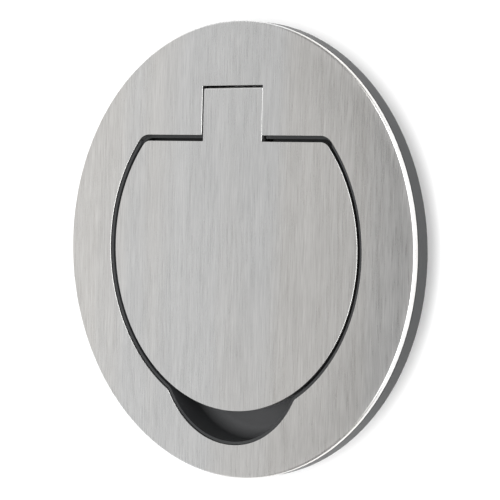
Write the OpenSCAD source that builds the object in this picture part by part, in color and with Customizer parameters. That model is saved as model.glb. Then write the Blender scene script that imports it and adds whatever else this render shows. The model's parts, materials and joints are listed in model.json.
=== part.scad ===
// Round desk grommet for an 80 mm cut-out, with a hinged steel lid and a cable notch.
// Origin: on the collar axis, in the plane where the flange rests on the desk top.
// +Z is up, out of the desk, and +Y points from the middle of the lid to its hinge.

/* [Flange] */
// Outer diameter of the flange
flange_d = 90.4; // [90:0.1:92]
// Height of the plastic rim that rests on the desk
rim_h = 3.2; // [3.1:0.05:3.3]
// Thickness of the steel face ring and of the steel lid
sheet_t = 1.2; // [1.1:0.05:1.25]
// Radius of the rounded outer edge of the face ring
ring_edge_r = 0.45; // [0.3:0.05:0.6]
// Height and depth of the shadow line between rim and face ring
shadow_line = 0.2; // [0.1:0.05:0.3]

/* [Collar] */
// Outer diameter of the collar, for an 80 mm hole
collar_d = 79.5; // [79.2:0.1:79.8]
// Depth of the collar below the desk top
collar_depth = 6.8; // [6.6:0.1:16]
// Wall thickness of the collar
collar_wall = 1.5; // [1.4:0.05:1.6]
// Outer diameter of the two rubber grip rings, as the hole squeezes them
grip_d = 79.9; // [79.7:0.05:80.2]

/* [Window] */
// Radius of the round window in the face ring
window_r = 33.2; // [33.1:0.05:33.3]
// Distance from the centre to the straight edge of the window
window_shoulder = 22.65; // [22.6:0.05:22.7]
// Corner radius at the ends of the straight edge
window_corner_r = 3.6; // [3.4:0.1:3.8]
// Width of the slot for the lid's tab
slot_w = 15.9; // [15.8:0.05:16]
// Distance from the centre to the end of the slot
slot_end = 32.45; // [32.4:0.05:32.5]
// Width of the plastic lip that lines the window
lip_w = 0.55; // [0.5:0.05:0.6]
// Depth of the lip's top below the face
lip_drop = 0.3; // [0.2:0.05:0.4]

/* [Cable notch] */
// Radius of the notch
notch_r = 19; // [18.9:0.05:19.05]
// Sideways offset of the notch from the middle of the lid
notch_shift = 0.7; // [0:0.1:0.8]
// Distance from the centre to the middle of the notch circle
notch_offset = 19.7; // [19.6:0.05:19.7]
// Depth of the chute's floor below the face
notch_depth = 8.45; // [8:0.05:8.6]
// Radius between the chute's wall and its floor
notch_fillet = 2.8; // [2:0.1:3]

// Radius of the two corners where the notch runs into the window
notch_blend_r = 2; // [1:0.5:3]

/* [Lid] */
// Gap between the lid and the window
lid_gap = 1.25; // [1.2:0.05:1.3]
// Corner radius of the lid's shoulders
lid_corner_r = 2.4; // [2.2:0.1:2.6]
// Gap on each side of the tab
tab_side_gap = 0.2; // [0.15:0.05:0.25]
// Gap at the end of the tab
tab_end_gap = 0.4; // [0.35:0.05:0.5]
// Depth of the lid's top below the face
lid_recess = 0.25; // [0.2:0.05:0.3]
// Thickness of the plastic carrier under the lid
carrier_t = 1.4; // [1.3:0.05:1.4]

/* [Hinge] */
// Distance from the centre to the hinge axis
hinge_y = 25.85; // [25.8:0.05:25.9]
// Depth of the hinge axis below the face
hinge_drop = 3.4; // [3.35:0.05:3.45]
// Diameter of the hinge pin
pin_d = 2; // [1.8:0.1:2]
// Length of the hinge pin
pin_l = 22.4; // [22:0.1:22.6]
// Opening angle of the lid
lid_angle = 0; // [0:1:105]

/* [Fasteners] */
// Diameter of the weld studs and screws
stud_d = 2; // [1.8:0.1:2]
// Width across the flats of the nuts
nut_af = 4; // [3.8:0.1:4]
// Height of the nuts
nut_h = 1.6; // [1.4:0.1:1.6]
// Diameter of the washers
washer_d = 4.5; // [4.2:0.1:4.6]
// Thickness of the washers
washer_t = 0.3; // [0.2:0.05:0.3]

/* [Hidden] */
$fn = 96;

steel = "#bfc0c2";
zinc = "#a9adb0";
black_plastic = "#34373a";
rubber = "#222426";
foam = "#1b1c1d";
acetal = "#e9e7e0";

// A small overshoot, so that cutters pass right through a face
cut = 0.5;

// Heights of the main levels
face_z = rim_h + sheet_t;
lid_top = face_z - lid_recess;
lid_under = lid_top - sheet_t;
carrier_under = lid_under - carrier_t;
hinge_z = face_z - hinge_drop;
deck_under = -0.6;
ledge_top = carrier_under - 0.4;
floor_z = face_z - notch_depth;
floor_t = 1.45;

// Radii of the main walls
flange_r = flange_d / 2;
collar_r = collar_d / 2;
collar_bore = collar_r - collar_wall;
ledge_r = 29.6;
ledge_shoulder = 19.2;
ledge_corner_r = 3;

// The lip stands this far inside the steel, so that the ring drops over it
lip_clearance = 0.1;
lip_inset = lip_clearance + lip_w;
// The lip is cut down to the rim's top beside the hinge, where the lid's shoulders turn
low_lip_half_w = 25.2;
low_lip_y = 19.9;

// The pocket in which the lid's tab turns
pocket_half_w = 8.15;
pocket_end = slot_end + 0.75;
pocket_start = 17;

// The chute under the notch
chute_wall = 1.5;
chute_inner_edge = -24;

// The lid
lid_r = window_r - lid_gap;
lid_shoulder = window_shoulder - lid_gap;
tab_half_w = slot_w / 2 - tab_side_gap;
tab_end = slot_end - tab_end_gap;
tab_edge_r = 0.4;
carrier_inset = 0.5;
rib_t = 1;
rib_h = 1.2;
rib_r = 26.5;
rib_shoulder = 16.5;
rib_corner_r = 2.5;

// The hinge: a barrel on the carrier turns on the pin, in two flanged bushes
barrel_r = 2.5;
barrel_half_w = 7.3;
bush_wall = 0.55;
bush_clearance = 0.05;
bush_l = 2.9;
bush_flange_r = 1.9;
bush_flange_t = 0.65;
pin_r = pin_d / 2;
bush_bore = pin_r + bush_clearance;
bush_r = bush_bore + bush_wall;
pin_slot_end = 11.5;
pin_slot_fit = 0.02;

// The retainers that hold the pin up in its slots
retainer_t = 1.4;
retainer_w = 5.2;
retainer_x0 = 8.4;
retainer_x1 = 16;
retainer_corner_r = 1;
retainer_screw_x = 13.8;
screw_head_r = 1.9;
screw_head_h = 1.2;
screw_l = 4;
screw_fit = 0.02;
cross_w = 0.5;
cross_l = 2.2;
cross_depth = 0.7;

// The weld studs of the face ring, three on each side
ring_stud_r = 35.8;
ring_stud_angles = [-50, 0, 50];
ring_stud_end = -0.5;
stud_fit = 0.15;
spot_face_r = 2.5;
spot_face_z = ring_stud_end + 0.1 + nut_h + washer_t;

// The weld studs of the lid
lid_stud_x = 13;
lid_stud_y = [-13, 9];
lid_stud_end = carrier_under - washer_t - nut_h - 0.15;

// The gasket and grip rings
gasket_r0 = 40.4;
gasket_r1 = 43.9;
gasket_t = 0.5;
grip_w = 1.4;
grip_groove = 0.8;
grip_z = [-2.3, -4.9];

// The bumpers on the ledge
bumper_r = 1.2;
bumper_gap = 0.05;
bumper_stem_r = 0.7;
bumper_at = [21.95, -21.95];

// ---- Outlines ----

// A disc cut off by a straight shoulder, with rounded corners between the two
module shouldered_disc(r, shoulder, corner) {
    reach = r - corner;
    corner_y = shoulder - corner;
    corner_x = sqrt(reach * reach - corner_y * corner_y);
    spread = 2 * r / reach;
    intersection() {
        circle(r = r, $fn = 180);
        polygon([
            [0, 0],
            [spread * corner_x, spread * corner_y],
            [spread * corner_x, -2 * r],
            [-spread * corner_x, -2 * r],
            [-spread * corner_x, spread * corner_y]
        ]);
    }
    for (side = [-1, 1]) {
        translate([side * corner_x, corner_y]) circle(r = corner, $fn = 48);
    }
    translate([-corner_x, 0]) square([2 * corner_x, shoulder]);
}

module window(inset) {
    shouldered_disc(window_r - inset, window_shoulder - inset, window_corner_r - inset);
}

module notch(inset) {
    translate([notch_shift, -notch_offset]) circle(r = notch_r - inset, $fn = 120);
}

// The corners between window and notch: what lies inside a disc that touches both circles
module notch_blend(inset) {
    middles = norm([notch_shift, notch_offset]);
    to_window = window_r + notch_blend_r;
    to_notch = notch_r + notch_blend_r;
    along = (to_window * to_window - to_notch * to_notch + middles * middles) / (2 * middles);
    across = sqrt(to_window * to_window - along * along);
    rotate([0, 0, atan2(-notch_offset, notch_shift)]) for (side = [-1, 1]) {
        difference() {
            polygon([[0, 0], [along, side * across], [middles, 0]]);
            translate([along, side * across]) circle(r = notch_blend_r + inset, $fn = 64);
        }
    }
}

module opening(inset) {
    window(inset);
    notch(inset);
    notch_blend(inset);
}

module lid_outline(inset) {
    shouldered_disc(lid_r - inset, lid_shoulder - inset, lid_corner_r - inset);
    half_w = tab_half_w - inset;
    translate([-half_w, 0]) square([2 * half_w, tab_end - inset]);
}

// ---- Shared shapes ----

module extrude_between(z0, z1) {
    translate([0, 0, z0]) linear_extrude(height = z1 - z0) children();
}

module ring(r0, r1, z0, z1) {
    extrude_between(z0, z1) difference() {
        circle(r = r1, $fn = 180);
        circle(r = r0, $fn = 180);
    }
}

module both_sides() {
    for (side = [0, 1]) {
        mirror([side, 0, 0]) children();
    }
}

module at_ring_studs() {
    for (side = [0, 180], angle = ring_stud_angles) {
        rotate([0, 0, side + angle]) translate([ring_stud_r, 0, 0]) children();
    }
}

module at_lid_studs() {
    for (x = [-lid_stud_x, lid_stud_x], y = lid_stud_y) {
        translate([x, y, 0]) children();
    }
}

// Lies along +X from x0 to x1, on the hinge axis
module hinge_rod(r, x0, x1) {
    translate([x0, hinge_y, hinge_z]) rotate([0, 90, 0]) cylinder(r = r, h = x1 - x0, $fn = 64);
}

// Everything on the lid turns about the hinge axis
module on_lid() {
    translate([0, hinge_y, hinge_z])
        rotate([-lid_angle, 0, 0])
            translate([0, -hinge_y, -hinge_z]) children();
}

module stud(z0, z1) {
    translate([0, 0, z0]) cylinder(d = stud_d, h = z1 - z0, $fn = 32);
}

module washer(z0) {
    translate([0, 0, z0]) difference() {
        cylinder(d = washer_d, h = washer_t, $fn = 48);
        translate([0, 0, -cut]) cylinder(d = stud_d + stud_fit, h = washer_t + 2 * cut, $fn = 32);
    }
}

module nut(z0) {
    translate([0, 0, z0]) difference() {
        cylinder(d = nut_af / cos(30), h = nut_h, $fn = 6);
        translate([0, 0, -cut]) cylinder(d = stud_d + screw_fit, h = nut_h + 2 * cut, $fn = 32);
    }
}

// ---- Face ring ----

module face_ring() {
    color(steel) difference() {
        translate([0, 0, rim_h]) rotate_extrude($fn = 180) {
            square([flange_r, sheet_t - ring_edge_r]);
            square([flange_r - ring_edge_r, sheet_t]);
            translate([flange_r - ring_edge_r, sheet_t - ring_edge_r]) circle(r = ring_edge_r, $fn = 32);
        }
        extrude_between(rim_h - cut, face_z + cut) {
            opening(0);
            translate([-slot_w / 2, 0]) square([slot_w, slot_end]);
        }
    }
}

module ring_studs() {
    color(steel) at_ring_studs() stud(ring_stud_end, rim_h);
}

module ring_washers() {
    color(zinc) at_ring_studs() washer(spot_face_z - washer_t);
}

module ring_nuts() {
    color(zinc) at_ring_studs() nut(spot_face_z - washer_t - nut_h);
}

// ---- Housing ----

// Profile of the rim from its axis outwards, with the shadow line at its top edge
module rim_profile() {
    foot_chamfer = 0.2;
    polygon([
        [0, 0],
        [flange_r - foot_chamfer, 0],
        [flange_r, foot_chamfer],
        [flange_r, rim_h - shadow_line],
        [flange_r - shadow_line, rim_h - shadow_line],
        [flange_r - shadow_line, rim_h],
        [0, rim_h]
    ]);
}

// The rim and the deck inside it, with the window and the cable opening cut out
module deck() {
    difference() {
        union() {
            rotate_extrude($fn = 180) rim_profile();
            translate([0, 0, deck_under]) cylinder(r = collar_r - 0.5, h = -deck_under + cut, $fn = 180);
        }
        extrude_between(ledge_top, rim_h + cut) {
            window(lip_inset);
            notch_blend(lip_inset);
        }
        extrude_between(deck_under - cut, rim_h + cut) {
            shouldered_disc(ledge_r, ledge_shoulder, ledge_corner_r);
        }
    }
}

// The thin lip that lines the window and the notch in the steel
module lip() {
    extrude_between(rim_h - cut, face_z - lip_drop) difference() {
        opening(lip_clearance);
        opening(lip_inset);
    }
}

module collar() {
    lead_in = 0.5;
    rotate_extrude($fn = 180) difference() {
        polygon([
            [collar_bore, -collar_depth],
            [collar_r - lead_in, -collar_depth],
            [collar_r, lead_in - collar_depth],
            [collar_r, cut],
            [collar_bore, cut]
        ]);
        for (z = grip_z) {
            translate([collar_r - grip_groove, z - grip_w / 2]) square([grip_groove + cut, grip_w]);
        }
    }
}

// The outside of the chute, from its floor up to the deck
module chute_shell() {
    intersection() {
        extrude_between(floor_z - floor_t, 0) {
            notch(lip_inset - chute_wall);
        }
        extrude_between(floor_z - floor_t, 0) circle(r = collar_bore + 0.3, $fn = 180);
        translate([-flange_r, -flange_r, floor_z - floor_t]) {
            cube([flange_d, flange_r + chute_inner_edge, floor_t - floor_z]);
        }
    }
}

// The space inside the chute, with a rounded foot to its wall
module chute_space() {
    r = notch_r - lip_inset;
    translate([notch_shift, -notch_offset, 0]) rotate_extrude($fn = 120) {
        translate([0, floor_z]) square([r - notch_fillet, notch_fillet]);
        translate([r - notch_fillet, floor_z + notch_fillet]) circle(r = notch_fillet, $fn = 64);
        translate([0, floor_z + notch_fillet]) square([r, face_z + cut - floor_z - notch_fillet]);
    }
}

module tab_pocket() {
    translate([-pocket_half_w, pocket_start, deck_under - cut]) {
        cube([2 * pocket_half_w, pocket_end - pocket_start, face_z - deck_under + 2 * cut]);
    }
}

// A slot open to the underside, with a round top, in which the pin lies
module pin_slot() {
    half_w = pin_r + pin_slot_fit;
    x0 = pocket_half_w - cut;
    hinge_rod(half_w, x0, pin_slot_end);
    translate([x0, hinge_y - half_w, deck_under - cut]) {
        cube([pin_slot_end - x0, 2 * half_w, hinge_z - deck_under + cut]);
    }
}

module housing() {
    screw_hole_top = deck_under - retainer_t + screw_l + 0.3;
    color(black_plastic) difference() {
        union() {
            deck();
            lip();
            collar();
            chute_shell();
        }
        chute_space();
        tab_pocket();
        translate([-low_lip_half_w, low_lip_y, rim_h]) {
            cube([2 * low_lip_half_w, window_shoulder - low_lip_y + cut, face_z]);
        }
        both_sides() {
            pin_slot();
            translate([retainer_screw_x, hinge_y, deck_under - cut]) {
                cylinder(d = stud_d + screw_fit, h = screw_hole_top - deck_under + cut, $fn = 32);
            }
            translate([bumper_at[0], bumper_at[1], deck_under - cut]) {
                cylinder(r = bumper_stem_r, h = ledge_top - deck_under + 2 * cut, $fn = 32);
            }
        }
        at_ring_studs() {
            translate([0, 0, deck_under - cut]) {
                cylinder(r = spot_face_r, h = spot_face_z - deck_under + cut, $fn = 48);
                cylinder(d = stud_d + stud_fit, h = rim_h - deck_under + 2 * cut, $fn = 32);
            }
        }
        ring(gasket_r0, gasket_r1, -cut, gasket_t);
    }
}

module rim_gasket() {
    color(foam) ring(gasket_r0, gasket_r1, 0, gasket_t);
}

module grip_ring(z) {
    groove_r = collar_r - grip_groove;
    bead_r = grip_d / 2;
    edge = 0.3;
    color(rubber) translate([0, 0, z]) rotate_extrude($fn = 180) polygon([
        [groove_r, -grip_w / 2],
        [bead_r - edge, -grip_w / 2],
        [bead_r, edge - grip_w / 2],
        [bead_r, grip_w / 2 - edge],
        [bead_r - edge, grip_w / 2],
        [groove_r, grip_w / 2]
    ]);
}

module grip_ring_upper() {
    grip_ring(grip_z[0]);
}

module grip_ring_lower() {
    grip_ring(grip_z[1]);
}

// ---- Hinge hardware on the housing ----

module hinge_pin() {
    color(zinc) hinge_rod(pin_r, -pin_l / 2, pin_l / 2);
}

// A plate with rounded corners, centred on the origin
module rounded_plate(length, width, corner) {
    square([length - 2 * corner, width], center = true);
    square([length, width - 2 * corner], center = true);
    for (x = [-1, 1], y = [-1, 1]) {
        translate([x * (length / 2 - corner), y * (width / 2 - corner)]) circle(r = corner, $fn = 32);
    }
}

// A cap screwed under the deck, with a rib that rises into the pin's slot
module hinge_retainer(side) {
    rib_half_w = pin_r - 0.1;
    rib_top = hinge_z - pin_r - 0.05;
    rib_l = pin_slot_end - 0.2 - retainer_x0;
    length = retainer_x1 - retainer_x0;
    color(black_plastic) mirror([side > 0 ? 0 : 1, 0, 0]) difference() {
        union() {
            translate([retainer_x0 + length / 2, hinge_y, deck_under - retainer_t]) {
                linear_extrude(height = retainer_t) rounded_plate(length, retainer_w, retainer_corner_r);
            }
            translate([retainer_x0, hinge_y - rib_half_w, deck_under - 0.1]) {
                cube([rib_l, 2 * rib_half_w, rib_top - deck_under + 0.1]);
            }
        }
        translate([retainer_screw_x, hinge_y, deck_under - retainer_t - cut]) {
            cylinder(d = stud_d + stud_fit, h = retainer_t + 2 * cut, $fn = 32);
        }
    }
}

module hinge_retainer_left() {
    hinge_retainer(-1);
}

module hinge_retainer_right() {
    hinge_retainer(1);
}

module retainer_screws() {
    seat = deck_under - retainer_t;
    color(zinc) both_sides() translate([retainer_screw_x, hinge_y, seat]) difference() {
        union() {
            cylinder(d = stud_d, h = screw_l, $fn = 32);
            translate([0, 0, -screw_head_h]) cylinder(r = screw_head_r, h = screw_head_h, $fn = 48);
        }
        for (turn = [0, 90]) {
            rotate([0, 0, turn]) translate([-cross_l / 2, -cross_w / 2, -screw_head_h - cut]) {
                cube([cross_l, cross_w, cross_depth + cut]);
            }
        }
    }
}

// A rubber button whose stem is pressed into the ledge
module lid_bumper(side) {
    color(rubber) translate([side * bumper_at[0], bumper_at[1], 0]) {
        translate([0, 0, ledge_top]) {
            cylinder(r = bumper_r, h = carrier_under - bumper_gap - ledge_top, $fn = 48);
        }
        translate([0, 0, deck_under]) {
            cylinder(r = bumper_stem_r, h = ledge_top - deck_under, $fn = 32);
        }
    }
}

module lid_bumper_left() {
    lid_bumper(-1);
}

module lid_bumper_right() {
    lid_bumper(1);
}

// ---- Lid ----

// The top edge at the tab's end is rounded, so that it turns clear of the slot
module lid_plate() {
    color(steel) on_lid() difference() {
        extrude_between(lid_under, lid_top) lid_outline(0);
        difference() {
            translate([-tab_half_w - cut, tab_end - tab_edge_r, lid_top - tab_edge_r]) {
                cube([2 * (tab_half_w + cut), tab_edge_r + cut, tab_edge_r + cut]);
            }
            translate([-tab_half_w - 2 * cut, tab_end - tab_edge_r, lid_top - tab_edge_r]) {
                rotate([0, 90, 0]) cylinder(r = tab_edge_r, h = 2 * (tab_half_w + 2 * cut), $fn = 48);
            }
        }
    }
}

module lid_studs() {
    color(steel) on_lid() at_lid_studs() stud(lid_stud_end, lid_under);
}

module lid_washers() {
    color(zinc) on_lid() at_lid_studs() washer(carrier_under - washer_t);
}

module lid_nuts() {
    color(zinc) on_lid() at_lid_studs() nut(carrier_under - washer_t - nut_h);
}

module lid_ribs() {
    extrude_between(carrier_under - rib_h, carrier_under + 0.1) {
        difference() {
            shouldered_disc(rib_r, rib_shoulder, rib_corner_r);
            shouldered_disc(rib_r - rib_t, rib_shoulder - rib_t, rib_corner_r - rib_t);
        }
        for (x = [-7, 7]) {
            translate([x - rib_t / 2, -sqrt(rib_r * rib_r - x * x) + rib_t]) {
                square([rib_t, sqrt(rib_r * rib_r - x * x) + rib_shoulder - 1.5 * rib_t]);
            }
        }
    }
}

module lid_carrier() {
    color(black_plastic) on_lid() difference() {
        union() {
            extrude_between(carrier_under, lid_under) lid_outline(carrier_inset);
            lid_ribs();
            hinge_rod(barrel_r, -barrel_half_w, barrel_half_w);
            translate([-barrel_half_w, hinge_y - barrel_r, hinge_z]) {
                cube([2 * barrel_half_w, 2 * barrel_r, carrier_under - hinge_z + 0.1]);
            }
        }
        translate([-barrel_half_w - cut, hinge_y - barrel_r, lid_under]) {
            cube([2 * (barrel_half_w + cut), 2 * barrel_r, barrel_r]);
        }
        hinge_rod(pin_r + 0.2, -barrel_half_w - cut, barrel_half_w + cut);
        hinge_rod(bush_r, barrel_half_w - bush_l, barrel_half_w + cut);
        hinge_rod(bush_r, -barrel_half_w - cut, -barrel_half_w + bush_l);
        at_lid_studs() translate([0, 0, carrier_under - cut]) {
            cylinder(d = stud_d + stud_fit, h = carrier_t + 2 * cut, $fn = 32);
        }
    }
}

// A sleeve in the barrel, with a flange that runs against the pocket's side
module hinge_bush(side) {
    inner_end = barrel_half_w - bush_l;
    color(acetal) on_lid() mirror([side > 0 ? 0 : 1, 0, 0]) difference() {
        union() {
            hinge_rod(bush_r, inner_end, barrel_half_w);
            hinge_rod(bush_flange_r, barrel_half_w, barrel_half_w + bush_flange_t);
        }
        hinge_rod(bush_bore, inner_end - cut, pocket_half_w);
    }
}

module hinge_bush_left() {
    hinge_bush(-1);
}

module hinge_bush_right() {
    hinge_bush(1);
}

face_ring();
ring_studs();
ring_washers();
ring_nuts();
housing();
rim_gasket();
grip_ring_upper();
grip_ring_lower();
hinge_pin();
hinge_retainer_left();
hinge_retainer_right();
retainer_screws();
lid_bumper_left();
lid_bumper_right();
lid_plate();
lid_studs();
lid_washers();
lid_nuts();
lid_carrier();
hinge_bush_left();
hinge_bush_right();
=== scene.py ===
import json
import math

import bmesh
import bpy
from mathutils import Matrix, Vector
from mathutils.geometry import tessellate_polygon


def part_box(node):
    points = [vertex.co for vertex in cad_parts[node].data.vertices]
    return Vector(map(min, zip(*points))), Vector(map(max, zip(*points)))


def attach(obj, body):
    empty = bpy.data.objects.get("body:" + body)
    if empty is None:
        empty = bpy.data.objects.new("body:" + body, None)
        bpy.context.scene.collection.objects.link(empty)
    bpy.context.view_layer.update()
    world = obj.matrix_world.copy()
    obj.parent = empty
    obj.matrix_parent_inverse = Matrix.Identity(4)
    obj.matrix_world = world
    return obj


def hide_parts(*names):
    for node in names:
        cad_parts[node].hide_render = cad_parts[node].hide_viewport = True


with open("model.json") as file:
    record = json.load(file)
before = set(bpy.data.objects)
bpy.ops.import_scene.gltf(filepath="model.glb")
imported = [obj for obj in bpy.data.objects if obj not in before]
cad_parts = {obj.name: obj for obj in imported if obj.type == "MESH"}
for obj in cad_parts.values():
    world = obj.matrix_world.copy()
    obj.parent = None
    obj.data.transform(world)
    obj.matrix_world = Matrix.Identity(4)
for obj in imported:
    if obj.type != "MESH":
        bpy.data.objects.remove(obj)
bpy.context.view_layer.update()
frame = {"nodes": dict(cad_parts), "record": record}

MM = 0.001
NODES = frame["nodes"]


# ---- Sizes, in metres, as in the CAD frame ----

RING_LOW, RING_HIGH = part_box("face_ring")
LID_LOW, LID_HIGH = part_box("lid_plate")
HOUSING_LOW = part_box("housing")[0]

FLANGE_R = RING_HIGH.x
FACE_Z = RING_HIGH.z

WINDOW_R = 33.2 * MM
WINDOW_SHOULDER = 22.65 * MM
WINDOW_CORNER_R = 3.6 * MM
SLOT_HALF_W = 7.95 * MM
SLOT_END = 32.45 * MM
NOTCH_R = 19 * MM
NOTCH_MIDDLE = Vector((0.7 * MM, -19.7 * MM))
NOTCH_BLEND_R = 2 * MM

LID_R = LID_HIGH.x
LID_SHOULDER = 21.4 * MM
LID_CORNER_R = 2.4 * MM
TAB_HALF_W = 7.75 * MM
TAB_END = LID_HIGH.y
TAB_CORNER_R = 0.45 * MM

# Edges: the pressed outer edge of the ring, the tab's end, and what the finishing belt leaves
RING_EDGE_R = 0.45 * MM
TAB_EDGE_R = 0.4 * MM
BURNISHED_R = 0.06 * MM
UNDERSIDE_EDGE_R = 0.06 * MM
STAMPED_CORNER_R = 0.2 * MM

# The ring is very slightly crowned from here outwards. The CAD's face is flat: the crown is this model's
# own, chosen for the tone of the ring's right side.
CROWN_START_R = 33 * MM
CROWN_DROP = 0.22 * MM

LONGEST_STEP = 0.7 * MM
SHORTEST_STEP = 0.08 * MM


# ---- Camera, at the photograph's viewing angle ----

def make_camera():
    """The lens is long, so the disc is nearly free of perspective."""
    towards_camera = Vector((0.6567, 0.0442, 0.7528)).normalized()
    picture_up = Vector((-0.0472, 0.9987, -0.0175))
    aim = Vector((5.69 * MM, 0.22 * MM, FACE_Z))
    distance = 350.66 * MM
    data = bpy.data.cameras.new("camera")
    data.sensor_width = 36
    data.lens = 129
    data.clip_start = 0.01
    data.clip_end = 20
    camera = bpy.data.objects.new("camera", data)
    right = picture_up.cross(towards_camera).normalized()
    up = towards_camera.cross(right)
    axes = Matrix((right, up, towards_camera)).transposed().to_4x4()
    camera.matrix_world = Matrix.Translation(aim + towards_camera * distance) @ axes
    bpy.context.scene.collection.objects.link(camera)
    bpy.context.scene.camera = camera


# ---- Floor and light ----

def linked(name, data):
    piece = bpy.data.objects.new(name, data)
    bpy.context.scene.collection.objects.link(piece)
    return piece


def make_floor():
    half = 3.0
    z = HOUSING_LOW.z
    corners = [(-half, -half, z), (half, -half, z), (half, half, z), (-half, half, z)]
    mesh = bpy.data.meshes.new("floor")
    mesh.from_pydata(corners, [], [(0, 1, 2, 3)])
    floor = linked("floor", mesh)
    material = bpy.data.materials.new("pale_floor")
    material.use_nodes = True
    shader = material.node_tree.nodes["Principled BSDF"]
    shader.inputs["Base Color"].default_value = (0.93, 0.93, 0.93, 1)
    shader.inputs["Roughness"].default_value = 0.9
    shader.inputs["Specular IOR Level"].default_value = 0
    mesh.materials.append(material)


def make_panel(name, place, aim, width, height, radiance):
    """A rectangular soft box that shines towards aim, with its height up and its width level."""
    data = bpy.data.lights.new(name, "AREA")
    data.shape = "RECTANGLE"
    data.size = width
    data.size_y = height
    data.energy = radiance * math.pi * width * height
    panel = linked(name, data)
    panel.location = place
    panel.rotation_euler = (Vector(place) - Vector(aim)).to_track_quat("Z", "Y").to_euler()


def make_light():
    """The steel mirrors the left panel, whose top edge is what dims the disc's right side."""
    world = bpy.data.worlds.new("studio")
    world.use_nodes = True
    background = world.node_tree.nodes["Background"]
    background.inputs["Color"].default_value = (1, 1, 1, 1)
    background.inputs["Strength"].default_value = 0.25
    bpy.context.scene.world = world
    make_panel("left", (-1.5, 0, 1.02), (0, 0, 1.02), 5.0, 2.04, 0.67)
    make_panel("right", (1.2, 0, 1.25), (0, 0, 0), 4.0, 2.4, 2.5)
    make_panel("top", (0.4, 0, 1.8), (0, 0, 0), 3.0, 1.2, 2.2)
    bpy.context.scene.view_settings.view_transform = "Standard"


# ---- Materials ----

class Shader:
    """A short way to build one node material."""

    def __init__(self, name):
        self.material = bpy.data.materials.new(name)
        self.material.use_nodes = True
        self.tree = self.material.node_tree
        self.principled = self.tree.nodes["Principled BSDF"]
        self.coordinates = self.tree.nodes.new("ShaderNodeTexCoord").outputs["Object"]

    def set(self, **values):
        for name, value in values.items():
            self.principled.inputs[name.replace("_", " ")].default_value = value

    def link(self, output, name):
        self.tree.links.new(output, self.principled.inputs[name])

    def noise(self, scale, detail=3.0, roughness=0.5):
        """Noise with scale in cells per metre: one number, or one for each of X, Y and Z."""
        vector = self.coordinates
        if isinstance(scale, tuple):
            mapping = self.tree.nodes.new("ShaderNodeMapping")
            mapping.inputs["Scale"].default_value = scale
            self.tree.links.new(vector, mapping.inputs["Vector"])
            vector = mapping.outputs["Vector"]
            scale = 1.0
        node = self.tree.nodes.new("ShaderNodeTexNoise")
        node.inputs["Scale"].default_value = scale
        node.inputs["Detail"].default_value = detail
        node.inputs["Roughness"].default_value = roughness
        self.tree.links.new(vector, node.inputs["Vector"])
        return node.outputs["Fac"]

    def cells(self, scale):
        node = self.tree.nodes.new("ShaderNodeTexVoronoi")
        node.inputs["Scale"].default_value = scale
        self.tree.links.new(self.coordinates, node.inputs["Vector"])
        return node.outputs["Distance"]

    def height(self):
        node = self.tree.nodes.new("ShaderNodeSeparateXYZ")
        self.tree.links.new(self.coordinates, node.inputs["Vector"])
        return node.outputs["Z"]

    def attribute(self, name):
        node = self.tree.nodes.new("ShaderNodeAttribute")
        node.attribute_name = name
        return node.outputs["Fac"]

    def math(self, operation, a, b):
        node = self.tree.nodes.new("ShaderNodeMath")
        node.operation = operation
        for socket, value in zip(node.inputs, (a, b)):
            if isinstance(value, (int, float)):
                socket.default_value = value
            else:
                self.tree.links.new(value, socket)
        return node.outputs[0]

    def blend(self, *weighted):
        """The sum of (output, weight) pairs."""
        total = 0.0
        for output, weight in weighted:
            total = self.math("ADD", total, self.math("MULTIPLY", output, weight))
        return total

    def between(self, fac, low, high, start=0.0, end=1.0):
        """Maps start..end of fac to low..high."""
        node = self.tree.nodes.new("ShaderNodeMapRange")
        node.inputs["From Min"].default_value = start
        node.inputs["From Max"].default_value = end
        node.inputs["To Min"].default_value = low
        node.inputs["To Max"].default_value = high
        self.tree.links.new(fac, node.inputs["Value"])
        return node.outputs["Result"]

    def colours(self, fac, stops):
        ramp = self.tree.nodes.new("ShaderNodeValToRGB")
        elements = ramp.color_ramp.elements
        for index, (place, colour) in enumerate(stops):
            element = elements[index] if index < 2 else elements.new(place)
            element.position = place
            element.color = (*colour, 1)
        self.tree.links.new(fac, ramp.inputs["Fac"])
        return ramp.outputs["Color"]

    def mix(self, fac, a, b):
        node = self.tree.nodes.new("ShaderNodeMix")
        node.data_type = "RGBA"
        for socket, value in zip((node.inputs[0], node.inputs[6], node.inputs[7]), (fac, a, b)):
            if isinstance(value, tuple):
                socket.default_value = (*value, 1)
            else:
                self.tree.links.new(value, socket)
        return node.outputs[2]

    def bump(self, height, strength, distance):
        node = self.tree.nodes.new("ShaderNodeBump")
        node.inputs["Strength"].default_value = strength
        node.inputs["Distance"].default_value = distance
        self.tree.links.new(height, node.inputs["Height"])
        return node.outputs["Normal"]


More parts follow.
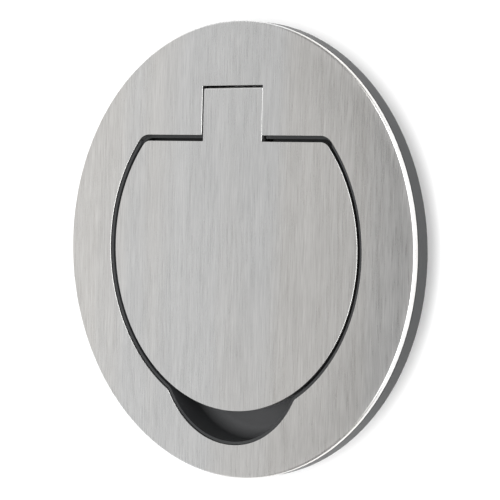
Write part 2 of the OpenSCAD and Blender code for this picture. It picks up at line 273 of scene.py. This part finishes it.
def brushed_steel():
    """Straight grain along Y, with cleaner and smoother metal where the edges are burnished."""
    s = Shader("brushed_steel")
    hair = s.noise((11000, 300, 11000), 2, 0.5)
    grain = s.noise((3300, 130, 3300), 3, 0.6)
    broad = s.noise((420, 9, 420), 3, 0.5)
    streaks = s.blend((hair, 0.3), (grain, 0.52), (broad, 0.18))
    tint = s.noise((60, 4, 60), 1, 0.5)
    cool = s.colours(streaks, [(0.34, (0.52, 0.522, 0.522)), (0.66, (0.755, 0.753, 0.748))])
    warm = s.colours(streaks, [(0.34, (0.535, 0.523, 0.507)), (0.66, (0.765, 0.752, 0.732))])
    metal = s.mix(s.between(tint, 0, 1, 0.42, 0.56), cool, warm)
    edge = s.attribute("burnished")
    s.link(s.mix(edge, metal, (0.78, 0.78, 0.77)), "Base Color")
    smudge = s.noise(75, 3, 0.6)
    rough = s.blend((s.between(streaks, 0.23, 0.31, 0.3, 0.7), 1.0), (s.between(smudge, -0.02, 0.05), 1.0))
    s.link(s.math("SUBTRACT", rough, s.math("MULTIPLY", edge, 0.06)), "Roughness")
    s.link(s.bump(streaks, 0.12, 0.012 * MM), "Normal")
    s.set(Metallic=1.0)
    return s.material


def plated_steel():
    """Zinc plate: a faint crystal mottle, with duller patches."""
    s = Shader("plated_steel")
    mottle = s.noise(2200, 3, 0.6)
    patch = s.noise(300, 2, 0.5)
    mixed = s.blend((mottle, 0.6), (patch, 0.4))
    s.link(s.colours(mixed, [(0.35, (0.50, 0.51, 0.53)), (0.65, (0.70, 0.70, 0.69))]), "Base Color")
    s.link(s.between(mixed, 0.18, 0.44, 0.3, 0.7), "Roughness")
    s.link(s.bump(mottle, 0.2, 0.01 * MM), "Normal")
    s.set(Metallic=1.0)
    return s.material


def dark_plastic():
    """Spark-eroded mould texture and a few paler scuffs. The chute's floor is painted paler than the rest:
    painted light, for light that the lamps don't bring down into the chute.
    """
    s = Shader("dark_plastic")
    spark = s.noise(5200, 3, 0.65)
    drift = s.noise(70, 2, 0.5)
    scuff = s.between(s.noise((900, 140, 900), 2, 0.6), 0, 1, 0.66, 0.8)
    tone = s.blend((spark, 0.5), (drift, 0.5))
    body = s.colours(tone, [(0.35, (0.018, 0.019, 0.020)), (0.65, (0.026, 0.027, 0.028))])
    # Painted light: the chute's floor is made paler in colour, standing in for light that doesn't reach it
    # from the lamps.
    above_floor = s.between(s.height(), 1, 0, -3.9 * MM, -1.2 * MM)
    in_chute = s.math("MULTIPLY", above_floor, s.between(s.height(), 0, 1, -4.3 * MM, -4.15 * MM))
    painted_floor_light = s.math("MULTIPLY", in_chute, s.between(spark, 0.7, 1, 0.35, 0.6))
    # Real scuffs and the painted light on the chute's floor both lighten the plastic here.
    paler = s.math("MAXIMUM", s.math("MULTIPLY", scuff, 0.25), painted_floor_light)
    s.link(s.mix(paler, body, (0.098, 0.099, 0.102)), "Base Color")
    s.link(s.between(s.blend((spark, 0.7), (drift, 0.3)), 0.36, 0.54, 0.3, 0.7), "Roughness")
    s.link(s.bump(spark, 0.35, 0.02 * MM), "Normal")
    s.set(Specular_IOR_Level=0.4)
    return s.material


def black_rubber():
    """Matt, with a grey bloom in patches."""
    s = Shader("black_rubber")
    skin = s.noise(3000, 3, 0.6)
    bloom = s.noise(160, 3, 0.6)
    tone = s.blend((skin, 0.3), (bloom, 0.7))
    s.link(s.colours(tone, [(0.35, (0.014, 0.014, 0.015)), (0.7, (0.034, 0.034, 0.035))]), "Base Color")
    s.link(s.between(skin, 0.55, 0.8, 0.3, 0.7), "Roughness")
    s.link(s.bump(skin, 0.3, 0.02 * MM), "Normal")
    return s.material


def gasket_foam():
    """Closed cells, cut open at the surface."""
    s = Shader("gasket_foam")
    pores = s.cells(3200)
    cloud = s.noise(900, 2, 0.5)
    # Painted shade: the cut-open cells are darker in colour towards their hollows, where the bump also sinks
    # them.
    tone = s.blend((pores, 0.8), (cloud, 0.3))
    s.link(s.colours(tone, [(0.15, (0.006, 0.006, 0.006)), (0.6, (0.045, 0.045, 0.047))]), "Base Color")
    s.link(s.between(pores, 0.95, 0.8, 0.1, 0.6), "Roughness")
    s.link(s.bump(pores, 0.8, 0.08 * MM), "Normal")
    s.set(Specular_IOR_Level=0.2)
    return s.material


def white_acetal():
    """Natural acetal: creamy, slightly uneven, with a soft sheen."""
    s = Shader("white_acetal")
    skin = s.noise(2500, 2, 0.5)
    drift = s.noise(400, 2, 0.5)
    s.link(s.colours(drift, [(0.3, (0.72, 0.71, 0.66)), (0.7, (0.80, 0.79, 0.75))]), "Base Color")
    s.link(s.between(skin, 0.28, 0.42, 0.3, 0.7), "Roughness")
    s.link(s.bump(skin, 0.15, 0.01 * MM), "Normal")
    return s.material


# ---- Outlines: closed lists of 2D points, counter-clockwise ----

def arc(middle, radius, start, end):
    step = min(math.radians(10), max(math.radians(1.2), SHORTEST_STEP / radius))
    count = max(2, math.ceil(abs(end - start) / step))
    angles = [start + (end - start) * i / count for i in range(count + 1)]
    return [Vector((middle[0] + radius * math.cos(a), middle[1] + radius * math.sin(a))) for a in angles]


def angle_of(vector):
    return math.atan2(vector.y, vector.x)


def without_repeats(points):
    nearest = 0.001 * MM
    return [p for i, p in enumerate(points) if (p - points[i - 1]).length > nearest]


def softened(points, radius):
    """Rounds each corner that turns by more than 15 degrees."""
    result = []
    count = len(points)
    for i, here in enumerate(points):
        before = points[i - 1]
        after = points[(i + 1) % count]
        arrive = (here - before).normalized()
        leave = (after - here).normalized()
        turn = math.atan2(arrive.x * leave.y - arrive.y * leave.x, arrive.dot(leave))
        if abs(turn) < math.radians(15):
            result.append(here)
            continue
        room = 0.48 * min((here - before).length, (after - here).length)
        reach = min(radius * math.tan(abs(turn) / 2), room)
        bend_r = reach / math.tan(abs(turn) / 2)
        to_middle = Vector((-arrive.y, arrive.x)) * math.copysign(bend_r, turn)
        middle = here - arrive * reach + to_middle
        start = angle_of(-to_middle)
        steps = max(3, math.ceil(abs(turn) / math.radians(15)))
        result += [
            middle + Vector((math.cos(start + turn * k / steps), math.sin(start + turn * k / steps))) * bend_r
            for k in range(steps + 1)
        ]
    return result


def subdivided(points, longest):
    result = []
    for i, here in enumerate(points):
        after = points[(i + 1) % len(points)]
        count = max(1, math.ceil((after - here).length / longest))
        result += [here.lerp(after, k / count) for k in range(count)]
    return result


def shoulder_corner(radius, shoulder, corner):
    """The middle of the right-hand corner's circle, and the angle at which it leaves the disc."""
    y = shoulder - corner
    middle = Vector((math.sqrt((radius - corner) ** 2 - y ** 2), y))
    return middle, angle_of(middle)


def lid_outline():
    quarter = math.pi / 2
    middle, leave = shoulder_corner(LID_R, LID_SHOULDER, LID_CORNER_R)
    mirrored = Vector((-middle.x, middle.y))
    corner_x = TAB_HALF_W - TAB_CORNER_R
    corner_y = TAB_END - TAB_CORNER_R
    points = arc(middle, LID_CORNER_R, leave, quarter)
    points += [Vector((TAB_HALF_W, LID_SHOULDER))]
    points += arc((corner_x, corner_y), TAB_CORNER_R, 0, quarter)
    points += arc((-corner_x, corner_y), TAB_CORNER_R, quarter, 2 * quarter)
    points += [Vector((-TAB_HALF_W, LID_SHOULDER))]
    points += arc(mirrored, LID_CORNER_R, quarter, 2 * quarter - leave)
    points += arc((0, 0), LID_R, 2 * quarter - leave, 4 * quarter + leave)
    return subdivided(softened(without_repeats(points), STAMPED_CORNER_R), LONGEST_STEP)


def notch_blend(side):
    """The middle of the circle that touches window and notch from outside, left (-1) or right (+1)."""
    to_window = WINDOW_R + NOTCH_BLEND_R
    to_notch = NOTCH_R + NOTCH_BLEND_R
    apart = NOTCH_MIDDLE.length
    along = (to_window ** 2 - to_notch ** 2 + apart ** 2) / (2 * apart)
    across = math.sqrt(to_window ** 2 - along ** 2)
    forward = NOTCH_MIDDLE.normalized()
    return forward * along + Vector((-forward.y, forward.x)) * across * side


def opening_outline():
    """The window, the tab's slot and the notch in the face ring."""
    half = math.pi
    corner, leave = shoulder_corner(WINDOW_R, WINDOW_SHOULDER, WINDOW_CORNER_R)
    mirrored = Vector((-corner.x, corner.y))
    left, right = notch_blend(-1), notch_blend(1)
    into_notch = angle_of(left - NOTCH_MIDDLE) + 2 * half
    out_of_notch = angle_of(right - NOTCH_MIDDLE) + 2 * half
    points = arc(corner, WINDOW_CORNER_R, leave, half / 2)
    points += [
        Vector((SLOT_HALF_W, WINDOW_SHOULDER)),
        Vector((SLOT_HALF_W, SLOT_END)),
        Vector((-SLOT_HALF_W, SLOT_END)),
        Vector((-SLOT_HALF_W, WINDOW_SHOULDER)),
    ]
    points += arc(mirrored, WINDOW_CORNER_R, half / 2, half - leave)
    points += arc((0, 0), WINDOW_R, half - leave, angle_of(left) + 2 * half)
    points += arc(left, NOTCH_BLEND_R, angle_of(left) + half, angle_of(NOTCH_MIDDLE - left))
    points += arc(NOTCH_MIDDLE, NOTCH_R, into_notch, out_of_notch)
    points += arc(right, NOTCH_BLEND_R, angle_of(NOTCH_MIDDLE - right), angle_of(right) + half)
    points += arc((0, 0), WINDOW_R, angle_of(right), leave)
    return subdivided(softened(without_repeats(points), STAMPED_CORNER_R), LONGEST_STEP)


# ---- Meshes ----

def outline_normals(points):
    """For each point: the unit normal to the right of the way, and its mitre for an offset of 1."""
    found = []
    for i, here in enumerate(points):
        arrive = (here - points[i - 1]).normalized()
        leave = (points[(i + 1) % len(points)] - here).normalized()
        first = Vector((arrive.y, -arrive.x))
        second = Vector((leave.y, -leave.x))
        found.append(((first + second).normalized(), (first + second) / (1 + first.dot(second))))
    return found


class Skin:
    """A mesh in the making. Steel sheet gives each vertex its exact normal and its share of burnish."""

    def __init__(self):
        self.points = []
        self.normals = []
        self.burnish = []
        self.faces = []

    def add(self, point, normal=(0, 0, 1), burnish=0.0):
        self.points.append(Vector(point))
        self.normals.append(normal)
        self.burnish.append(burnish)
        return len(self.points) - 1

    def band(self, low, high):
        count = len(low)
        for i in range(count):
            k = (i + 1) % count
            self.faces.append((low[i], low[k], high[k], high[i]))

    def bands(self, rings):
        for low, high in zip(rings, rings[1:]):
            self.band(low, high)

    def wall(self, outline, steps_at):
        """Rings up a sheet's edge. steps_at(point, normal) lists (inset, height, tilt, burnish)."""
        columns = []
        for point, (normal, mitre) in zip(outline, outline_normals(outline)):
            column = []
            for inset, height, tilt, burnish in steps_at(point, normal):
                flat = point - mitre * inset
                slope = (*(normal * math.cos(tilt)), math.sin(tilt))
                column.append(self.add((*flat, height), slope, burnish))
            columns.append(column)
        rings = list(zip(*columns))
        self.bands(rings)
        return rings

    def cap(self, ring, up):
        loop = [self.points[index] for index in ring]
        for triangle in tessellate_polygon([loop]):
            a, b, c = (ring[corner] for corner in triangle)
            across = (self.points[b] - self.points[a]).cross(self.points[c] - self.points[a])
            self.faces.append((a, b, c) if (across.z > 0) == up else (a, c, b))

    def mesh(self, name):
        mesh = bpy.data.meshes.new(name)
        mesh.from_pydata(self.points, [], self.faces)
        mesh.update()
        return mesh

    def sheet_piece(self, name):
        """A piece with its exact normals, and its burnish as a point attribute."""
        mesh = self.mesh(name)
        mesh.shade_smooth()
        mesh.normals_split_custom_set_from_vertices(self.normals)
        mesh.attributes.new("burnished", "FLOAT", "POINT").data.foreach_set("value", self.burnish)
        return linked(name, mesh)

    def shaded_piece(self, name, sharp=35):
        mesh = self.mesh(name)
        bm = bmesh.new()
        bm.from_mesh(mesh)
        bmesh.ops.remove_doubles(bm, verts=bm.verts, dist=0.0005 * MM)
        bmesh.ops.recalc_face_normals(bm, faces=bm.faces)
        bm.to_mesh(mesh)
        bm.free()
        return shaded(linked(name, mesh), sharp)


def shaded(piece, sharp=35):
    """Smooth, apart from edges sharper than so many degrees, with flat faces kept flat."""
    piece.data.shade_smooth()
    piece.data.set_sharp_from_angle(angle=math.radians(sharp))
    weighted = piece.modifiers.new("flat_faces_stay_flat", "WEIGHTED_NORMAL")
    weighted.keep_sharp = True
    weighted.weight = 80
    return piece


def rounded_edge(low, high, foot_r, top_r, shine=1.0):
    """Steps up a sheet's edge, from its underside to its top."""
    steps = []
    for k in range(3):
        a = -math.pi / 2 * (1 - k / 2)
        steps.append((foot_r * (1 - math.cos(a)), low + foot_r * (1 + math.sin(a)), a, 0.0))
    for k in range(7):
        a = math.pi / 2 * k / 6
        inset = top_r * (1 - math.cos(a))
        height = high - top_r * (1 - math.sin(a))
        steps.append((inset, height, a, shine * math.sin(2 * a)))
    return steps


# ---- Steel sheet ----

def crown(radius):
    """How far the ring's face has dropped at a radius, and its slope there."""
    width = FLANGE_R - CROWN_START_R
    share = max(0.0, radius - CROWN_START_R) / width
    return CROWN_DROP * share ** 2, 2 * CROWN_DROP * share / width


def make_face_ring():
    """Every radial line of the mesh runs from a point of the opening to the outer edge."""
    skin = Skin()
    opening = opening_outline()
    outer = [point.normalized() * FLANGE_R for point in opening]

    def opening_edge(point, _normal):
        return rounded_edge(RING_LOW.z, FACE_Z - crown(point.length)[0], UNDERSIDE_EDGE_R, BURNISHED_R)

    def outer_edge(_point, _normal):
        return rounded_edge(RING_LOW.z, FACE_Z - CROWN_DROP, UNDERSIDE_EDGE_R, RING_EDGE_R, shine=0.0)

    inner_rings = [ring[::-1] for ring in skin.wall(opening[::-1], opening_edge)]
    outer_rings = skin.wall(outer, outer_edge)
    rows = 10
    face = [inner_rings[-1]]
    for row in range(1, rows):
        ring = []
        for a, b in zip(inner_rings[-1], outer_rings[-1]):
            flat = skin.points[a].lerp(skin.points[b], row / rows).xy
            drop, slope = crown(flat.length)
            normal = Vector((*(flat.normalized() * slope), 1)).normalized()
            ring.append(skin.add((*flat, FACE_Z - drop), normal))
        face.append(ring)
    face.append(outer_rings[-1])
    skin.bands(face[::-1])
    skin.band(inner_rings[0], outer_rings[0])
    return skin.sheet_piece("brushed_face_ring")


def make_lid_plate():
    """The tab's end has a larger rounding than the rest of the plate."""
    skin = Skin()

    def edge(point, normal):
        share = max(0.0, normal.y) ** 2 if point.y > TAB_END - TAB_CORNER_R else 0.0
        top_r = BURNISHED_R + (TAB_EDGE_R - BURNISHED_R) * share
        return rounded_edge(LID_LOW.z, LID_HIGH.z, UNDERSIDE_EDGE_R, top_r)

    rings = skin.wall(lid_outline(), edge)
    skin.cap(rings[-1], up=True)
    skin.cap(rings[0], up=False)
    return skin.sheet_piece("brushed_lid_plate")


# ---- Turned and threaded pieces ----

def on_z(middle):
    return lambda r, h, a: (middle[0] + r * math.cos(a), middle[1] + r * math.sin(a), h)


def on_x(middle):
    """Around an axis along X, through middle."""
    return lambda r, h, a: (h, middle.y + r * math.cos(a), middle.z + r * math.sin(a))


def turned(skin, profile, place, segments, edge_r=0.0):
    """Turns a closed profile of (radius, height) points about an axis, with its corners rounded."""
    points = [Vector(point) for point in profile]
    if edge_r:
        points = softened(points, edge_r)
    angles = [2 * math.pi * i / segments for i in range(segments)]
    rings = [[skin.add(place(radius, height, a)) for a in angles] for radius, height in points]
    for i, ring in enumerate(rings):
        on_axis = points[i].x == 0 and points[i - 1].x == 0
        if not on_axis:
            skin.band(rings[i - 1], ring)


def thread(skin, place, low, high, radius, pitch, turn=0.0):
    """A V thread with a chamfered start at low."""
    segments = 28
    depth = 0.55 * pitch
    rows = math.ceil((high - low) / pitch * 8)
    rings = [[skin.add(place(0, low, 0)) for _ in range(segments)]]
    for row in range(rows + 1):
        h = low + (high - low) * row / rows
        start = radius - depth + min(depth, h - low)
        ring = []
        for i in range(segments):
            phase = (h / pitch - i / segments + turn) % 1
            ridge = radius - depth * (1 - abs(2 * phase - 1))
            ring.append(skin.add(place(min(ridge, start), h, 2 * math.pi * i / segments)))
        rings.append(ring)
    rings.append([skin.add(place(0, high, 0)) for _ in range(segments)])
    skin.bands(rings)


def nut(skin, middle, low, high, across_flats, hole_r, turn):
    """A hexagon nut, chamfered by 30 degrees on both faces."""
    segments = 72
    land = 0.47 * across_flats
    sixth = math.pi / 3
    lead_in = 0.12 * (high - low)
    place = on_z(middle)
    angles = [2 * math.pi * i / segments for i in range(segments)]
    hexagon = [across_flats / 2 / math.cos((a + sixth / 2) % sixth - sixth / 2) for a in angles]
    drops = [(r - land) * math.tan(math.radians(30)) for r in hexagon]

    def circle(radius, height):
        return [skin.add(place(radius, height, a + turn)) for a in angles]

    def flats(heights):
        return [skin.add(place(r, h, a + turn)) for r, h, a in zip(hexagon, heights, angles)]

    rings = [
        circle(hole_r, low + lead_in),
        circle(hole_r + lead_in, low),
        circle(land, low),
        flats([low + drop for drop in drops]),
        flats([high - drop for drop in drops]),
        circle(land, high),
        circle(hole_r + lead_in, high),
        circle(hole_r, high - lead_in),
    ]
    skin.bands(rings + rings[:1])


def solids(node):
    """(lowest, highest corner) of each separate solid of a CAD node."""
    bm = bmesh.new()
    bm.from_mesh(NODES[node].data)
    bmesh.ops.remove_doubles(bm, verts=bm.verts, dist=0.001 * MM)
    unseen = set(bm.verts)
    boxes = []
    while unseen:
        reached = [unseen.pop()]
        for vertex in reached:
            others = [edge.other_vert(vertex) for edge in vertex.link_edges]
            fresh = [other for other in others if other in unseen]
            unseen.difference_update(fresh)
            reached += fresh
        places = [vertex.co for vertex in reached]
        low = Vector([min(place[axis] for place in places) for axis in range(3)])
        high = Vector([max(place[axis] for place in places) for axis in range(3)])
        boxes.append((low, high))
    bm.free()
    return sorted(boxes, key=lambda box: tuple(round(value / MM, 2) for value in box[0]))


def make_studs(node, name):
    """Weld studs: threaded up to a plain neck under the sheet."""
    skin = Skin()
    pitch = 0.4 * MM
    neck = 0.5 * MM
    for index, (low, high) in enumerate(solids(node)):
        radius = (high.x - low.x) / 2
        place = on_z((low + high) / 2)
        thread(skin, place, low.z, high.z - neck, radius, pitch, turn=index * 0.37)
        profile = [(0, high.z - neck), (radius, high.z - neck), (radius, high.z), (0, high.z)]
        turned(skin, profile, place, 28)
    return skin.shaded_piece(name, sharp=50)


def make_washers(node, name):
    skin = Skin()
    hole_r = 1.1 * MM
    edge_r = 0.08 * MM
    for low, high in solids(node):
        outer = (high.x - low.x) / 2
        profile = [(hole_r, low.z), (outer, low.z), (outer, high.z), (hole_r, high.z)]
        turned(skin, profile, on_z((low + high) / 2), 64, edge_r)
    return skin.shaded_piece(name)


def make_nuts(node, name):
    skin = Skin()
    across_flats = 3.95 * MM
    hole_r = 0.98 * MM
    for index, (low, high) in enumerate(solids(node)):
        nut(skin, (low + high) / 2, low.z, high.z, across_flats, hole_r, turn=index * 0.61)
    return skin.shaded_piece(name, sharp=22)


def add_screw(skin, low, high):
    """A pan head underneath a thread that points up."""
    head_h = 1.2 * MM
    side_h = 0.42 * MM
    overlap = 0.2 * MM
    shank_r = 1 * MM
    pitch = 0.55 * MM
    place = on_z((low + high) / 2)
    head_r = (high.x - low.x) / 2
    seat = low.z + head_h
    dome = [(0, seat), (head_r, seat)]
    for k in range(9):
        a = math.pi / 2 * k / 9
        dome.append((head_r * math.cos(a) ** 0.8, low.z + (head_h - side_h) * (1 - math.sin(a))))
    turned(skin, dome + [(0, low.z)], place, 64)

    def upside_down(r, h, a):
        return place(r, -h, a)

    thread(skin, upside_down, -high.z, overlap - seat, shank_r, pitch)


def add_recess(skin, middle, mouth_z, turn):
    """A tapered cross, as the screwdriver fills it."""
    depth = 0.7 * MM
    above = 0.1 * MM
    wing_half = 1.15 * MM
    wing_half_t = 0.26 * MM
    for angle in (turn, turn + math.pi / 2):
        along = Vector((math.cos(angle), math.sin(angle)))
        aside = Vector((-along.y, along.x)) * wing_half_t
        rings = []
        for reach, height in ((wing_half, mouth_z - above), (0.45 * wing_half, mouth_z + depth)):
            corners = [along * reach * u + aside * v for u, v in ((1, 1), (-1, 1), (-1, -1), (1, -1))]
            rings.append([skin.add((*(middle.xy + corner), height)) for corner in corners])
        skin.bands(rings)
        skin.faces += [tuple(rings[0][::-1]), tuple(rings[1])]


def make_screws():
    skin, recesses = Skin(), Skin()
    for index, (low, high) in enumerate(solids("retainer_screws")):
        add_screw(skin, low, high)
        add_recess(recesses, (low + high) / 2, low.z, turn=math.radians(20 + 50 * index))
    screws = skin.shaded_piece("plated_retainer_screws", 40)
    screws.modifiers.clear()
    cutter = recesses.shaded_piece("screwdriver")
    cut = screws.modifiers.new("recess", "BOOLEAN")
    cut.object = cutter
    cut.operation = "DIFFERENCE"
    cut.solver = "EXACT"
    cut.use_self = True
    graph = bpy.context.evaluated_depsgraph_get()
    finished = bpy.data.meshes.new_from_object(screws.evaluated_get(graph))
    screws.modifiers.clear()
    screws.data = finished
    bpy.data.objects.remove(cutter)
    return shaded(screws, 40)


def make_hinge_pin():
    skin = Skin()
    low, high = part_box("hinge_pin")
    radius = (high.z - low.z) / 2
    chamfer = 0.2 * MM
    profile = [
        (0, low.x), (radius - chamfer, low.x), (radius, low.x + chamfer),
        (radius, high.x - chamfer), (radius - chamfer, high.x), (0, high.x),
    ]
    turned(skin, profile, on_x((low + high) / 2), 48)
    return skin.shaded_piece("plated_hinge_pin")


def make_bush(node, name):
    """A flanged sleeve, with its flange on the outside."""
    skin = Skin()
    low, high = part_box(node)
    flange_r = (high.z - low.z) / 2
    side = math.copysign(1, low.x)
    inner, outer = sorted((abs(low.x), abs(high.x)))
    flange_inner = outer - 0.65 * MM
    bore_r = 1.05 * MM
    sleeve_r = 1.6 * MM
    edge_r = 0.1 * MM
    profile = [
        (bore_r, inner), (sleeve_r, inner), (sleeve_r, flange_inner),
        (flange_r, flange_inner), (flange_r, outer), (bore_r, outer),
    ]
    turned(skin, [(r, side * x) for r, x in profile], on_x((low + high) / 2), 48, edge_r)
    return skin.shaded_piece(name)


def make_grip_ring(node, name):
    """A rubber band with three fine ribs around its outside."""
    skin = Skin()
    low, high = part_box(node)
    inner = 38.95 * MM
    groove = 0.22 * MM
    steps = 24
    wave = []
    for k in range(steps + 1):
        share = k / steps
        depth = groove * (0.5 + 0.5 * math.cos(6 * math.pi * share))
        wave.append((high.x - depth, low.z + (high.z - low.z) * share))
    turned(skin, [(inner, low.z)] + wave + [(inner, high.z)], on_z((0, 0)), 240)
    return skin.shaded_piece(name)


def make_gasket():
    skin = Skin()
    low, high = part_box("rim_gasket")
    inner = 40.4 * MM
    edge_r = 0.12 * MM
    profile = [(inner, low.z), (high.x, low.z), (high.x, high.z), (inner, high.z)]
    turned(skin, profile, on_z((0, 0)), 240, edge_r)
    return skin.shaded_piece("foam_rim_gasket")


def make_bumper(node, name):
    """A domed button on a stem that is pressed into the ledge."""
    skin = Skin()
    low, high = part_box(node)
    button_r = (high.x - low.x) / 2
    dome_h = 0.35 * MM
    stem_r = 0.7 * MM
    ledge = 1.15 * MM
    steps = 6
    profile = [(0, low.z), (stem_r, low.z), (stem_r, ledge), (button_r, ledge)]
    for k in range(steps):
        a = math.pi / 2 * k / steps
        profile.append((button_r * math.cos(a), high.z - dome_h * (1 - math.sin(a))))
    turned(skin, profile + [(0, high.z)], on_z((low + high) / 2), 48)
    return skin.shaded_piece(name)


# ---- Moulded pieces ----

def make_moulding(node, name, edge_r):
    """A finished copy of a moulded CAD node: flat facets merged and sharp edges rounded."""
    mesh = NODES[node].data.copy()
    mesh.name = name
    bm = bmesh.new()
    bm.from_mesh(mesh)
    bmesh.ops.remove_doubles(bm, verts=bm.verts, dist=0.001 * MM)
    bmesh.ops.dissolve_limit(bm, angle_limit=math.radians(0.3), verts=bm.verts, edges=bm.edges)
    sharp = [e for e in bm.edges if e.is_manifold and e.calc_face_angle(0) > math.radians(32)]
    bmesh.ops.bevel(
        bm, geom=sharp, offset=edge_r, offset_type="OFFSET", segments=2, profile=0.5,
        affect="EDGES", clamp_overlap=True,
    )
    bm.to_mesh(mesh)
    bm.free()
    return shaded(linked(name, mesh), 40)


# ---- Assembly ----

def put(piece, node, materials):
    """The piece stands for the CAD node, moves with its body and takes its finish."""
    record = frame["record"]
    slot = next(part["material_slot"] for part in record["subparts"] if part["node"] == node)
    body = next(name for name, nodes in record["behaviour"]["bodies"].items() if node in nodes)
    piece.data.materials.clear()
    piece.data.materials.append(materials[slot])
    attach(piece, body)
    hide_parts(node)


def make_object():
    materials = {
        "brushed_steel": brushed_steel(),
        "plated_steel": plated_steel(),
        "dark_plastic": dark_plastic(),
        "black_rubber": black_rubber(),
        "gasket_foam": gasket_foam(),
        "white_acetal": white_acetal(),
    }
    pieces = {
        "face_ring": make_face_ring(),
        "lid_plate": make_lid_plate(),
        "housing": make_moulding("housing", "moulded_housing", 0.12 * MM),
        "lid_carrier": make_moulding("lid_carrier", "moulded_lid_carrier", 0.12 * MM),
        "retainer_screws": make_screws(),
        "hinge_pin": make_hinge_pin(),
        "rim_gasket": make_gasket(),
    }
    for part in ("ring", "lid"):
        pieces[f"{part}_studs"] = make_studs(f"{part}_studs", f"threaded_{part}_studs")
        pieces[f"{part}_washers"] = make_washers(f"{part}_washers", f"plated_{part}_washers")
        pieces[f"{part}_nuts"] = make_nuts(f"{part}_nuts", f"plated_{part}_nuts")
    for place in ("upper", "lower"):
        pieces[f"grip_ring_{place}"] = make_grip_ring(f"grip_ring_{place}", f"ribbed_grip_ring_{place}")
    for side in ("left", "right"):
        retainer = f"hinge_retainer_{side}"
        pieces[f"hinge_bush_{side}"] = make_bush(f"hinge_bush_{side}", f"turned_bush_{side}")
        pieces[f"lid_bumper_{side}"] = make_bumper(f"lid_bumper_{side}", f"domed_bumper_{side}")
        pieces[retainer] = make_moulding(retainer, f"moulded_retainer_{side}", 0.1 * MM)
    for node, piece in pieces.items():
        put(piece, node, materials)


make_camera()
make_floor()
make_light()
make_object()
